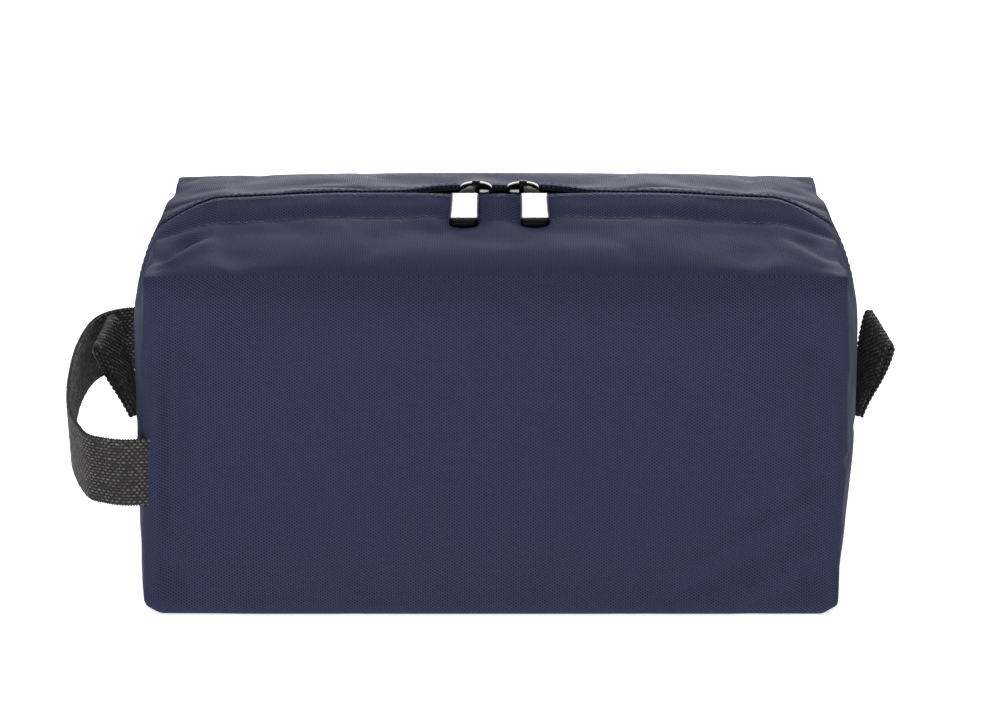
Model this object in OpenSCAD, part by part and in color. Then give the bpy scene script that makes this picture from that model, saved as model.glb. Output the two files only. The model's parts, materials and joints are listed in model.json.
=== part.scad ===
// Boxy wash bag with a two-way top zip, a webbing side handle and two webbing pull tabs.
// Origin: middle of the base, on the surface the bag stands on. +Z up, front towards -Y, handle at -X.

/* [Body] */
// Length of the bag between its vertical corner seams
body_w = 240; // [200:1:300]
// Depth of the bag from front wall to back wall
body_d = 136; // [120:1:160]
// Height of the front and back walls, up to the top crease
body_h = 125; // [110:1:150]
// How far the middle of each end wall bulges outwards
end_bulge = 12; // [4:1:16]
// Height of the zip line above the top creases
crown = 14.9; // [10:0.1:18]
// Height of the horizontal seam across each end
end_seam_z = 57; // [50:1:62]
// Radius of the soft crease along the top of the front and back walls
crease_r = 5; // [3:0.5:8]

/* [Fabric] */
// Thickness of the coated outer fabric
fabric_t = 1.4; // [1:0.1:2]
// Thickness of the lining
lining_t = 0.6; // [0.4:0.1:0.8]
// Thickness of the binding on the inner seam allowances
binding_t = 1; // [0.6:0.1:1.5]
// Width of the bound seam allowances
binding_w = 6; // [4:0.5:8]

/* [Zip] */
// Half width of the gap between the two fabric lips
lip_gap = 7; // [6.5:0.1:8]
// Width of the stitched strip beside the zip, seen from above
lip_w = 11; // [8:0.5:14]
// Drop of the stitched strip from the lip to the top stitching
lip_drop = 5.6; // [3:0.1:7]
// Half length of the zip that opens; beyond it the zip is closed for good
mouth_half = 100; // [80:1:105]
// Depth of the coil's middle line under the lips
coil_depth = 3; // [2.8:0.1:4]
// Height of the coil
coil_h = 2; // [1.6:0.1:2.2]
// Width of one half of the coil
coil_w = 1.8; // [1.4:0.1:2]
// Thickness of the zip tape
tape_t = 0.6; // [0.4:0.1:0.8]

/* [Sliders] */
// Distance from the middle of the bag to each slider's middle, zip closed
slider_x = 8.5; // [7.5:0.5:12]
// Length of a slider
slider_l = 12; // [10:0.5:13]
// Width of a slider
slider_w = 8.8; // [8:0.1:9]
// Thickness of each slider plate
plate_t = 1; // [0.8:0.1:1.2]
// Radius of the bar that carries the pull
bar_r = 0.9; // [0.8:0.05:1]
// Running clearance between the bar and the pull's eye
eye_play = 0.05; // [0.02:0.01:0.1]
// Width of a pull sleeve
sleeve_w = 10.2; // [8:0.1:11]
// Length of a pull sleeve
sleeve_l = 13.2; // [10:0.1:14]
// Thickness of a pull sleeve
sleeve_t = 2.8; // [2.4:0.1:3]
// Downward tilt of the pulls as they lie over the front lip, in degrees
pull_tilt = 22.5; // [20:0.5:23]

/* [Webbing] */
// Width of the webbing of the handle and the tabs
web_w = 25; // [20:1:25]
// Thickness of the webbing
web_t = 1.45; // [1.2:0.05:1.6]
// Height of the middle of the handle
handle_z = 53.5; // [45:0.5:55]
// How far the handle's loop reaches beyond the corner seam
handle_reach = 33.5; // [30:0.5:36]
// Length of a folded end tab
tab_l = 30.5; // [24:0.5:34]
// Lean of the end tabs from upright, in degrees
tab_lean = 27; // [20:1:30]

/* [Hidden] */
$fn = 48;

navy = [0.20, 0.21, 0.29];
navy_light = [0.25, 0.26, 0.35];
charcoal = [0.16, 0.16, 0.17];
black = [0.05, 0.05, 0.055];
silver = [0.88, 0.88, 0.90];

half_w = body_w / 2;
half_d = body_d / 2;
wall_t = fabric_t + lining_t;
gap = 0.4;                              // play between pieces that move past each other
touch = 0.1;                            // play between pieces that only meet
hinge_y = half_d - crease_r;            // the top panels fold along this line
lip_z = body_h + crown;
coil_z = lip_z - coil_depth;
row_y = lip_gap + lip_w;                // the row of top stitching beside the zip
row_z = lip_z - lip_drop;
wall_edge = half_w - fabric_t;          // front and back walls stop here, against the end walls
end_y = half_d - fabric_t - touch;      // end walls and base fit between front and back walls
seam_gap = 0.3;

// ---- curves shared by several pieces ----

// Points moved sideways by d: to the left of the direction of travel when d is positive
function left_of(v) = [-v.y, v.x] / norm(v);
function miter(a, b) = (a + b) / (1 + a * b);
function offset_line(p, d) = [
    for (i = [0 : len(p) - 1])
        let (before = left_of(p[max(i, 1)] - p[max(i, 1) - 1]),
             after = left_of(p[min(i, len(p) - 2) + 1] - p[min(i, len(p) - 2)]))
        p[i] + miter(before, after) * d
];
function reversed(p) = [for (i = [len(p) - 1 : -1 : 0]) p[i]];
function strip(p, d0, d1) = concat(offset_line(p, d0), reversed(offset_line(p, d1)));
function bezier(a, b, c, d, steps) = [
    for (i = [0 : steps])
        let (t = i / steps, u = 1 - t)
        u * u * u * a + 3 * u * u * t * b + 3 * u * t * t * c + t * t * t * d
];

// The front wall seen from the side: up from z, then round the crease, short of the fold line so
// that the top panel can turn down past it
crease_end = 120;
function wall_line(z) = concat(
    [[-half_d, z]],
    [for (a = [180 : -15 : crease_end]) [-hinge_y + crease_r * cos(a), body_h - crease_r + crease_r * sin(a)]]
);
// The front half of the top seen from the side, from the fold line to the lip
top_line = [[-hinge_y, body_h], [-row_y, row_z], [-lip_gap, lip_z]];
// Height of the top above the creases across the bag
function rise(y) = lookup(y, [[-hinge_y, 0], [-row_y, row_z - body_h], [-lip_gap, crown]]);

// Bulge of the end wall up its height, and the distance of the end wall from the middle of the bag
bulge_z = body_h * 0.52;
function bulge(z) = 1 - 0.5 * pow((z - bulge_z) / (body_h * 0.5), 4);
function end_x(y, z) = half_w + end_bulge * (1 - pow(y / half_d, 2)) * bulge(z);

// The top rolls over to the end wall: fall is 1 at the end of the mouth and 0 at the end wall
function fall(s) = pow(max(0, 1 - pow(s, 1.6)), 0.7);
function roll_step(i, n) = 1 - pow(1 - i / n, 2);
roll_steps = 8;
end_steps = 7;

// ---- a sheet of cloth on a grid of points ----

function span(g, i, j) = [
    g[min(i + 1, len(g) - 1)][j] - g[max(i - 1, 0)][j],
    g[i][min(j + 1, len(g[0]) - 1)] - g[i][max(j - 1, 0)]
];
function normal(g, i, j) = let (s = span(g, i, j), n = cross(s[0], s[1])) n / norm(n);
function layer(g, depth) = [
    for (i = [0 : len(g) - 1]) for (j = [0 : len(g[0]) - 1]) g[i][j] - normal(g, i, j) * depth
];
// Closed skin from the grid at depth d0 to the grid at depth d1, measured inwards
module sheet(g, d0, d1) {
    rows = len(g);
    cols = len(g[0]);
    count = rows * cols;
    function at(i, j) = i * cols + j;
    outer = [for (i = [0 : rows - 2]) for (j = [0 : cols - 2])
        each [[at(i, j), at(i + 1, j + 1), at(i + 1, j)], [at(i, j), at(i, j + 1), at(i + 1, j + 1)]]];
    inner = [for (f = outer) [f[2] + count, f[1] + count, f[0] + count]];
    rim = concat(
        [for (j = [0 : cols - 2]) at(0, j)],
        [for (i = [0 : rows - 2]) at(i, cols - 1)],
        [for (j = [cols - 1 : -1 : 1]) at(rows - 1, j)],
        [for (i = [rows - 1 : -1 : 1]) at(i, 0)]
    );
    side = [for (k = [0 : len(rim) - 1])
        let (a = rim[k], b = rim[(k + 1) % len(rim)])
        each [[a, b + count, b], [a, a + count, b + count]]];
    polyhedron(concat(layer(g, d0), layer(g, d1)), concat(outer, inner, side));
}

// Profile in the Y-Z plane, extruded along X
module along_x(length) {
    rotate([90, 0, 90]) linear_extrude(length, center = true) children();
}

// ---- walls ----

module front_wall() {
    color(navy) along_x(wall_edge * 2) polygon(strip(wall_line(0), 0, -fabric_t));
}

module front_wall_lining() {
    clear = wall_t + touch;
    color(charcoal) along_x(2 * (half_w - clear)) polygon(strip(wall_line(clear), -fabric_t, -wall_t));
}

module floor_outline(inset) {
    ys = [for (i = [-6 : 6]) i * (end_y - inset) / 6];
    polygon(concat(
        [for (y = ys) [end_x(y, 0) - inset, y]],
        [for (y = reversed(ys)) [-end_x(y, 0) + inset, y]]
    ));
}

module base_panel() {
    color(navy) linear_extrude(fabric_t) floor_outline(0);
}

module base_lining() {
    color(charcoal) translate([0, 0, fabric_t]) linear_extrude(lining_t) floor_outline(wall_t + 2 * touch);
}

// Lower end wall on the +X side, between the base and the horizontal end seam
function gusset_grid(z0, z1) = [
    for (i = [0 : 5]) let (z = z0 + (z1 - z0) * i / 5)
    [for (j = [0 : 10]) let (y = end_y * (1 - j / 5)) [end_x(y, z), y, z]]
];
module gusset(depth0, depth1) {
    sheet(gusset_grid(fabric_t + touch, end_seam_z - touch), depth0, depth1);
}
module end_panel() {
    color(navy) gusset(0, fabric_t);
}
module end_lining() {
    color(charcoal) gusset(fabric_t, wall_t);
}

// Corner piece on the +X side in front of the zip: the last stretch of the top, rolled over the
// edge and down the end wall to the horizontal seam
corner_y = [-hinge_y, -hinge_y * 0.77, -hinge_y * 0.53, -row_y, -(row_y + lip_gap) / 2, -lip_gap];
function widen(y, z) = let (t = min(1, (body_h - z) / (crease_r + 2)))
    y + (y + lip_gap) / (hinge_y - lip_gap) * (end_y - hinge_y) * t;
function top_point(y, s) = let (edge = end_x(y, body_h))
    [mouth_half + (edge - mouth_half) * s, y, body_h + rise(y) * fall(s)];
function side_point(y, z) = let (w = widen(y, z)) [end_x(w, z), w, z];
function corner_grid() = concat(
    [for (i = [0 : roll_steps]) [for (y = corner_y) top_point(y, roll_step(i, roll_steps))]],
    [for (i = [1 : end_steps]) let (z = body_h - (body_h - end_seam_z - touch) * i / end_steps)
        [for (y = corner_y) side_point(y, z)]]
);
module corner(depth0, depth1) {
    sheet(corner_grid(), depth0, depth1);
}
module corner_panel() {
    color(navy) corner(0, fabric_t);
}
module corner_lining() {
    color(charcoal) corner(fabric_t, wall_t);
}

// ---- inner seam allowances with binding ----

module corner_binding() {
    inset = wall_t + seam_gap;
    reach = binding_w / sqrt(2);
    color(black) translate([half_w - inset - 0.8, -half_d + inset + 0.8, inset])
        rotate([0, 0, 135]) translate([0, -binding_t / 2, 0])
            cube([reach, binding_t, body_h - crease_r - 2 * inset]);
}

module end_binding() {
    ys = [for (i = [-6 : 6]) i * (end_y - 2 * binding_w) / 6];
    edge = wall_t + seam_gap;
    color(black) translate([0, 0, end_seam_z - binding_t / 2]) linear_extrude(binding_t) polygon(concat(
        [for (y = ys) [end_x(y, end_seam_z) - edge, y]],
        [for (y = reversed(ys)) [end_x(y, end_seam_z) - edge - binding_w, y]]
    ));
}

// ---- top panels ----

module top_panel() {
    color(navy_light) along_x(2 * (mouth_half - gap)) polygon(strip(top_line, 0, -fabric_t));
}

module top_lining() {
    color(charcoal) along_x(2 * (mouth_half - gap)) polygon(strip(top_line, -fabric_t, -wall_t));
}

// ---- zip ----

tape_depth = wall_t + tape_t / 2 + touch / 2;
under_lip = offset_line(top_line, -tape_depth);
tape_line = [
    under_lip[2] + (under_lip[1] - under_lip[2]) * 0.85,
    under_lip[2],
    [-slider_w / 2 - 0.3, coil_z],
    [-coil_w - 0.15, coil_z]
];

// Tape of the opening stretch, from under the lip to the coil
module zip_tape() {
    color(black) along_x(2 * (mouth_half - gap)) polygon(strip(tape_line, tape_t / 2, -tape_t / 2));
}

// Coil half of the opening stretch: it steps aside between the two sliders, where the zip parts
module zip_coil() {
    inner = 0.15;
    apart = 1.5;
    near = slider_x - 3.4;
    far = slider_x - 1.8;
    reach = mouth_half - gap;
    path = [[-reach, inner], [-far, inner], [-near, apart], [near, apart], [far, inner], [reach, inner]];
    outline = concat(path, [for (p = reversed(path)) p + [0, coil_w]]);
    color(black) translate([0, 0, coil_z - coil_h / 2]) linear_extrude(coil_h)
        mirror([0, 1]) polygon(outline);
}

// Line of the zip beyond the mouth, in the X-Z plane: over the edge and down the end wall
end_zip_start = mouth_half + 1.2;
end_zip_line = concat(
    [for (i = [0 : roll_steps]) let (s = roll_step(i, roll_steps), edge = end_x(0, body_h))
        [end_zip_start + (edge - end_zip_start) * s, body_h + crown * fall(s)]],
    [for (i = [1 : end_steps]) let (z = body_h - (body_h - end_seam_z - 1) * i / end_steps)
        [end_x(0, z), z]]
);
module end_zip_strip(depth0, depth1, y0, y1) {
    for (side = [0, 1]) mirror([0, side, 0])
        translate([0, y1, 0]) rotate([90, 0, 0]) linear_extrude(y1 - y0)
            polygon(strip(end_zip_line, -depth0, -depth1));
}
module end_zip_tape() {
    color(black) end_zip_strip(wall_t + 0.2, wall_t + 0.2 + tape_t, coil_w + 0.15, lip_gap - 0.4);
}
module end_zip_coil() {
    color(black) end_zip_strip(coil_depth - coil_h / 2, coil_depth + coil_h / 2, 0.15, coil_w + 0.15);
}

// ---- sliders: the +X one, at x = 0 and height 0 on the coil's middle line ----

channel = coil_h / 2 + 0.15;            // half height of the space between the plates
flange_w = 0.9;
slot = 0.6;                             // half height of the slot for the tape
bar_z = channel + plate_t + bar_r + 1.05;
bar_l = 7.2;                            // clear length of the bar between its legs
leg_w = 1.6;

module plate() {
    linear_extrude(plate_t) intersection() {
        square([slider_l, slider_w], center = true);
        circle(slider_l * 0.56);
    }
}
module slider_body() {
    color(black) {
        translate([0, 0, channel]) plate();
        translate([0, 0, -channel - plate_t]) plate();
        for (side = [0, 1]) mirror([0, side, 0]) {
            translate([-slider_l * 0.36, slider_w / 2 - flange_w, slot])
                cube([slider_l * 0.72, flange_w, channel - slot + touch]);
            translate([-slider_l * 0.36, slider_w / 2 - flange_w, -channel - touch])
                cube([slider_l * 0.72, flange_w, channel - slot + touch]);
        }
        // the post that parts the two coils, at the end nearer the other slider
        translate([-slider_l / 2 + 0.6, -1.2, -channel - touch])
            cube([2.4, 2.4, 2 * (channel + touch)]);
    }
}
module slider_bridge() {
    foot = channel + plate_t;
    color(black) {
        translate([0, 0, bar_z]) rotate([0, 90, 0]) cylinder(h = bar_l + 2 * leg_w, r = bar_r, center = true);
        for (side = [-1, 1])
            translate([side * (bar_l + leg_w) / 2, 0, (foot + bar_z) / 2])
                cube([leg_w, 2 * bar_r, bar_z - foot], center = true);
    }
}

// ---- pull: the +X one, with its eye's axis at the origin, lying forward over the lip ----

eye_r = 1.7;
eye_w = 2.6;
neck_t = 1.3;
neck_end = [3.9, -7.8, 0.6];            // where the neck meets the sleeve
tip_l = 2.6;                            // length of the core below the sleeve

module in_sleeve() {
    translate(neck_end) rotate([pull_tilt, 0, 0]) children();
}
module rounded_bar(w, t, r) {
    square([w - 2 * r, t], center = true);
    square([w, t - 2 * r], center = true);
    for (x = [-1, 1]) for (y = [-1, 1]) translate([x * (w / 2 - r), y * (t / 2 - r)]) circle(r);
}
module pull_core() {
    slot_w = sleeve_w - 1.2;
    slot_t = sleeve_t - 1.2;
    color(black) {
        rotate([0, 90, 0]) difference() {
            cylinder(h = eye_w, r = eye_r, center = true);
            cylinder(h = eye_w + 1, r = bar_r + eye_play, center = true);
        }
        // neck, from the eye forward and outward to the sleeve
        rotate([-4.4, 0, 0]) translate([0, 0, -neck_t / 2]) linear_extrude(neck_t) polygon([
            [-eye_w / 2, -1.35], [eye_w / 2, -1.35],
            [neck_end.x + 3, neck_end.y - 0.4], [neck_end.x - 3, neck_end.y - 0.4]
        ]);
        in_sleeve() rotate([90, 0, 0]) linear_extrude(sleeve_l + 1) rounded_bar(slot_w, slot_t, 0.5);
        in_sleeve() translate([0, -sleeve_l - 0.5, 0]) rotate([90, 0, 0])
            linear_extrude(tip_l) rounded_bar(sleeve_w - 0.4, sleeve_t - 0.4, 0.9);
    }
}
module pull_sleeve() {
    color(silver) in_sleeve() translate([0, -0.4, 0]) rotate([90, 0, 0]) linear_extrude(sleeve_l)
        difference() {
            rounded_bar(sleeve_w, sleeve_t, 1);
            rounded_bar(sleeve_w - 1.1, sleeve_t - 1.1, 0.5);
        }
}

// ---- webbing ----

handle_x = -half_w - 5.5;               // line about which the handle swings
knuckle_r = web_w / 2 + 0.5;
web_y = half_d - web_t / 2 - 0.05;      // middle of the webbing where it leaves the corner seams
loop_x = -half_w - handle_reach;
straight_x = loop_x + 15.5;
handle_line = concat(
    [[handle_x, -web_y]],
    bezier([straight_x, -web_y], [straight_x - 12, -web_y], [loop_x - 0.5, -web_y + 11],
           [loop_x, -web_y * 0.57], 8),
    bezier([loop_x, -web_y * 0.5], [loop_x + 0.5, -5], [loop_x + 3, web_y], [straight_x, web_y], 12),
    [[handle_x, web_y]]
);

module knuckle(r, reach) {
    translate([handle_x, 0, handle_z]) rotate([90, 0, 0]) cylinder(h = reach, r = r, center = true);
}
// The webbing's sewn end at the front corner seam, with a round outer end
module handle_tail() {
    color(charcoal) intersection() {
        knuckle(knuckle_r, body_d + 10);
        translate([-half_w - 30, -half_d + 0.05, handle_z - web_w / 2])
            cube([30 - touch, web_t, web_w]);
    }
}
module handle_strap() {
    color(charcoal) difference() {
        translate([0, 0, handle_z - web_w / 2]) linear_extrude(web_w)
            polygon(strip(handle_line, web_t / 2, -web_t / 2));
        knuckle(knuckle_r + 0.3, body_d + 10);
    }
}

// Folded tab on the +X end, two layers of webbing with a round fold at the top
module end_tab() {
    root = [end_x(0, end_seam_z) + web_t + 0.4, 0, end_seam_z + 1];
    color(charcoal) translate(root) rotate([0, tab_lean, 0]) {
        translate([-web_t, -web_w / 2, 0]) cube([2 * web_t, web_w, tab_l - web_t]);
        for (z = [0, tab_l - web_t])
            translate([0, 0, z]) rotate([90, 0, 0]) cylinder(h = web_w, r = web_t, center = true);
    }
}

// ---- placing on the four sides ----

module at_back() { mirror([0, 1, 0]) children(); }
module at_left() { mirror([1, 0, 0]) children(); }
module on_zip(side) { mirror([side < 0 ? 1 : 0, 0, 0]) translate([slider_x, 0, coil_z]) children(); }
module on_bar(side) { on_zip(side) translate([0, 0, bar_z]) children(); }

front_wall();  // front_panel
at_back() front_wall();  // back_panel
base_panel();
at_left() end_panel();  // left_end_panel
end_panel();  // right_end_panel
at_left() corner_panel();  // left_front_corner
at_left() at_back() corner_panel();  // left_back_corner
corner_panel();  // right_front_corner
at_back() corner_panel();  // right_back_corner
front_wall_lining();  // front_lining
at_back() front_wall_lining();  // back_lining
base_lining();
at_left() end_lining();  // left_end_lining
end_lining();  // right_end_lining
at_left() corner_lining();  // left_front_corner_lining
at_left() at_back() corner_lining();  // left_back_corner_lining
corner_lining();  // right_front_corner_lining
at_back() corner_lining();  // right_back_corner_lining
at_left() corner_binding();  // left_front_binding
at_left() at_back() corner_binding();  // left_back_binding
corner_binding();  // right_front_binding
at_back() corner_binding();  // right_back_binding
at_left() end_binding();  // left_end_binding
end_binding();  // right_end_binding
at_left() end_zip_tape();  // left_end_zip_tape
end_zip_tape();  // right_end_zip_tape
at_left() end_zip_coil();  // left_end_zip_coil
end_zip_coil();  // right_end_zip_coil
top_panel();  // front_top_panel
at_back() top_panel();  // back_top_panel
top_lining();  // front_top_lining
at_back() top_lining();  // back_top_lining
zip_tape();  // front_zip_tape
at_back() zip_tape();  // back_zip_tape
zip_coil();  // front_zip_coil
at_back() zip_coil();  // back_zip_coil
on_zip(-1) slider_body();  // left_slider_body
on_zip(1) slider_body();  // right_slider_body
on_zip(-1) slider_bridge();  // left_slider_bridge
on_zip(1) slider_bridge();  // right_slider_bridge
on_bar(-1) pull_core();  // left_pull_core
on_bar(1) pull_core();  // right_pull_core
on_bar(-1) pull_sleeve();  // left_pull_sleeve
on_bar(1) pull_sleeve();  // right_pull_sleeve
handle_tail();  // handle_front_tail
at_back() handle_tail();  // handle_back_tail
handle_strap();
at_left() end_tab();  // left_tab
end_tab();  // right_tab
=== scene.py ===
"""A boxy fabric wash bag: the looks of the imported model, in the same frame, in metres."""
import json
import math

import bmesh
import bpy
import numpy as np
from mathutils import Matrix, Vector
from mathutils.bvhtree import BVHTree


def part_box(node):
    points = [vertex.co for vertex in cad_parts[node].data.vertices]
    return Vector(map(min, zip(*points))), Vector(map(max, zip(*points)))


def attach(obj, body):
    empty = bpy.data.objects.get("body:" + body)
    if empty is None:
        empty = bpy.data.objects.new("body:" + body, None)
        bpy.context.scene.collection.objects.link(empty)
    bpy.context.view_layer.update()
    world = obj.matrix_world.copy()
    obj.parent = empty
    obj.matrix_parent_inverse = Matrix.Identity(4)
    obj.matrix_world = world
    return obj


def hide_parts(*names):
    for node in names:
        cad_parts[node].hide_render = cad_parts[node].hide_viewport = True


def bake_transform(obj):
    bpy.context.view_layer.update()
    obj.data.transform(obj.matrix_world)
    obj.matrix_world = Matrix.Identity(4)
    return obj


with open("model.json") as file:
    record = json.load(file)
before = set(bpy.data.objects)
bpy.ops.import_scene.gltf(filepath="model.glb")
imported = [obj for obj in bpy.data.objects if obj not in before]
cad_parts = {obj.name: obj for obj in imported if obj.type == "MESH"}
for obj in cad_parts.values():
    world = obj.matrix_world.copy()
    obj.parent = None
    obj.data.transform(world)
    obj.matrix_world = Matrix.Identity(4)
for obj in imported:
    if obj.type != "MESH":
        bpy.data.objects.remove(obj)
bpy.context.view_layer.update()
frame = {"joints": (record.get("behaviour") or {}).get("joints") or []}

MM = 0.001

# ---- sizes read from the frame ----

JOINTS = {j["name"]: j for j in frame["joints"]}
FRONT_LOW, FRONT_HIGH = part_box("front_panel")
TOP_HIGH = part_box("front_top_panel")[1]
END_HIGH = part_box("right_end_panel")[1]
CLOTH = 1.4 * MM                                    # thickness of the outer fabric in the CAD model
HALF_D = -FRONT_LOW[1]
HALF_W = FRONT_HIGH[0] + CLOTH
CREASE_Z = JOINTS["front_flap_fold"]["pos_m"][2]
HINGE_Y = -JOINTS["front_flap_fold"]["pos_m"][1]
CREASE_R = HALF_D - HINGE_Y
CREASE_H = 13 * MM                                  # height over which the front turns into the top
SETTLE = 2.0 * MM                                   # how far the soft top has settled below the CAD model's
LIP_Z = TOP_HIGH[2] - SETTLE
CROWN = LIP_Z - CREASE_Z
MOUTH = 100 * MM                                    # half length of the stretch of zip that opens
SEAM_Z = END_HIGH[2]
END_BULGE = 10.8 * MM
LIP_Y = 7 * MM
ROW_Y = 18 * MM                                     # the row of top stitching beside the zip
ROW_RISE = CROWN - 5.2 * MM
SHIFT = 1.3 * MM                                    # the pair of sliders sits a little to the right
SLIDER_X = -JOINTS["left_pull_swing"]["pos_m"][0]
BAR_Z = JOINTS["left_pull_swing"]["pos_m"][2] - 1.6 * MM
COIL_Z = BAR_Z - 4.1 * MM
COIL_DEPTH = LIP_Z - COIL_Z                         # how far the coil lies below the lips


# ---- shape of the empty bag, before the cloth is relaxed ----

def smoothstep(t):
    t = np.clip(t, 0, 1)
    return t * t * (3 - 2 * t)


def bulge(z):
    """How much of the end wall's bulge there is at a height, 1 at the fullest."""
    shoulder = max(0.0, (z - 90 * MM) / (35 * MM))
    foot = max(0.0, (16 * MM - z) / (16 * MM))
    return 1 - 0.82 * shoulder ** 2.6 - 0.25 * foot ** 2


def end_x(y, z):
    """Distance of the end wall from the middle of the bag."""
    return HALF_W + END_BULGE * (1 - (y / HALF_D) ** 2) * bulge(z)


def rise(y, x=0.0):
    """Height of the top above the creases. It sinks a little towards the ends of the mouth."""
    level = float(np.interp(-abs(y), [-HINGE_Y, -ROW_Y, -LIP_Y], [0, ROW_RISE, CROWN]))
    from_crease = (HINGE_Y - abs(y)) / (33 * MM)
    level += 1.4 * MM * math.sin(math.pi * min(1.0, max(0.0, from_crease)) ** 0.55)
    return level * (1 - 0.17 * float(smoothstep((abs(x) - 50 * MM) / (60 * MM))))


def fall(s):
    """1 at the end of the mouth, 0 where the top meets the end wall."""
    return 1 - s ** 1.35


def crease_y(z):
    """Distance of the front wall from the middle at a height, round the crease at its top."""
    over = max(0.0, (z - (CREASE_Z - CREASE_H)) / CREASE_H)
    return HINGE_Y + CREASE_R * (1 - over ** 2.2)


STEP = 3 * MM


def cells(length):
    return max(2, round(length / STEP))


def ramp(a, b, n):
    return [a + (b - a) * i / n for i in range(n + 1)]


MOUTH_XS = ramp(-MOUTH, MOUTH, cells(2 * MOUTH))
ROLL = ramp(0, 1, 9)
HALF_YS = ramp(HINGE_Y, ROW_Y, cells(HINGE_Y - ROW_Y)) + ramp(ROW_Y, LIP_Y, 5)[1:]
GAP_YS = ramp(LIP_Y, -LIP_Y, 4)
CREASE_ZS = [CREASE_Z - CREASE_H * (1 - math.cos(math.radians(a))) for a in (0, 15, 30, 45, 60, 75, 90)]
UPPER_ZS = CREASE_ZS + ramp(CREASE_Z - CREASE_H, SEAM_Z, cells(CREASE_Z - CREASE_H - SEAM_Z))[1:]
LOWER_ZS = ramp(SEAM_Z, 0, cells(SEAM_Z))


def widened(y, z):
    """A place across the top carried down the end wall, where the wall is a little wider."""
    size = abs(y)
    if size <= LIP_Y:
        return y
    grown = LIP_Y + (size - LIP_Y) * (crease_y(z) - LIP_Y) / (HINGE_Y - LIP_Y)
    return math.copysign(grown, y)


def front_point(x, z):
    y = -crease_y(z)
    if abs(x) > MOUTH:
        part = (abs(x) - MOUTH) / (HALF_W - MOUTH)
        x = math.copysign(MOUTH + (end_x(y, z) - MOUTH) * part, x)
    return (x, y, z)


def base_point(x, y):
    if abs(x) > MOUTH:
        part = (abs(x) - MOUTH) / (HALF_W - MOUTH)
        x = math.copysign(MOUTH + (end_x(y, 0) - MOUTH) * part, x)
    return (x, y, 0.0)


def roll_point(s, y):
    x = MOUTH + (end_x(y, CREASE_Z) - MOUTH) * s
    return (x, y, CREASE_Z + rise(y, MOUTH) * fall(s))


def end_point(y, z):
    w = widened(y, z)
    return (end_x(w, z), w, z)


def sunk(y):
    """How far the gap between the lips is sunk, so that the lips turn over roundly."""
    return 0.0 if abs(y) > LIP_Y - MM else 2.5 * MM


def end_gap_point(end, p, s):
    """A place in the gap where it goes over the end of the top and down the end wall."""
    x, y, z = p
    low = sunk(y) * smoothstep((z - SEAM_Z) / (20 * MM))
    return (end * (x - low * s), y, z - low * (1 - s))


class Net:
    """Grids of cloth that share their edges, each face marked with its region's number."""

    def __init__(self):
        self.index = {}
        self.points = []
        self.faces = []
        self.regions = []
        self.uvs = []
        self.names = []

    def vertex(self, p):
        key = tuple(round(c * 1e5) for c in p)
        if key not in self.index:
            self.index[key] = len(self.points)
            self.points.append(p)
        return self.index[key]

    def grid(self, name, rows, flip=False, rise_first=1, end=0):
        """rows is a list of rows of points. The cloth's own coordinates run along its rows and columns.

        rise_first is -1 where the cloth runs on upwards from the row 0 of the piece below it. end is -1 or 1
        where the piece carries on the top's cloth over that end, so that its rows run across the bag."""
        if name not in self.names:
            self.names.append(name)
        region = self.names.index(name)
        p = np.array(rows)
        across = np.linalg.norm(np.diff(p, axis=1), axis=2)
        along = np.linalg.norm(np.diff(p, axis=0), axis=2)
        u = np.concatenate([np.zeros((len(p), 1)), np.cumsum(across, axis=1)], axis=1)
        v = np.concatenate([np.zeros((1, p.shape[1])), np.cumsum(along, axis=0)], axis=0)
        if end:
            u, v = end * (MOUTH + v), -u
        else:
            u, v = u - u[:, [len(rows[0]) // 2]], rise_first * v
        for i in range(len(rows) - 1):
            for j in range(len(rows[0]) - 1):
                corners = [(i, j), (i + 1, j), (i + 1, j + 1), (i, j + 1)]
                if flip:
                    corners.reverse()
                face = [self.vertex(rows[a][b]) for a, b in corners]
                if len(set(face)) < 4:
                    continue
                self.faces.append(face)
                self.regions.append(region)
                self.uvs.append([(u[a][b], v[a][b]) for a, b in corners])


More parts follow.
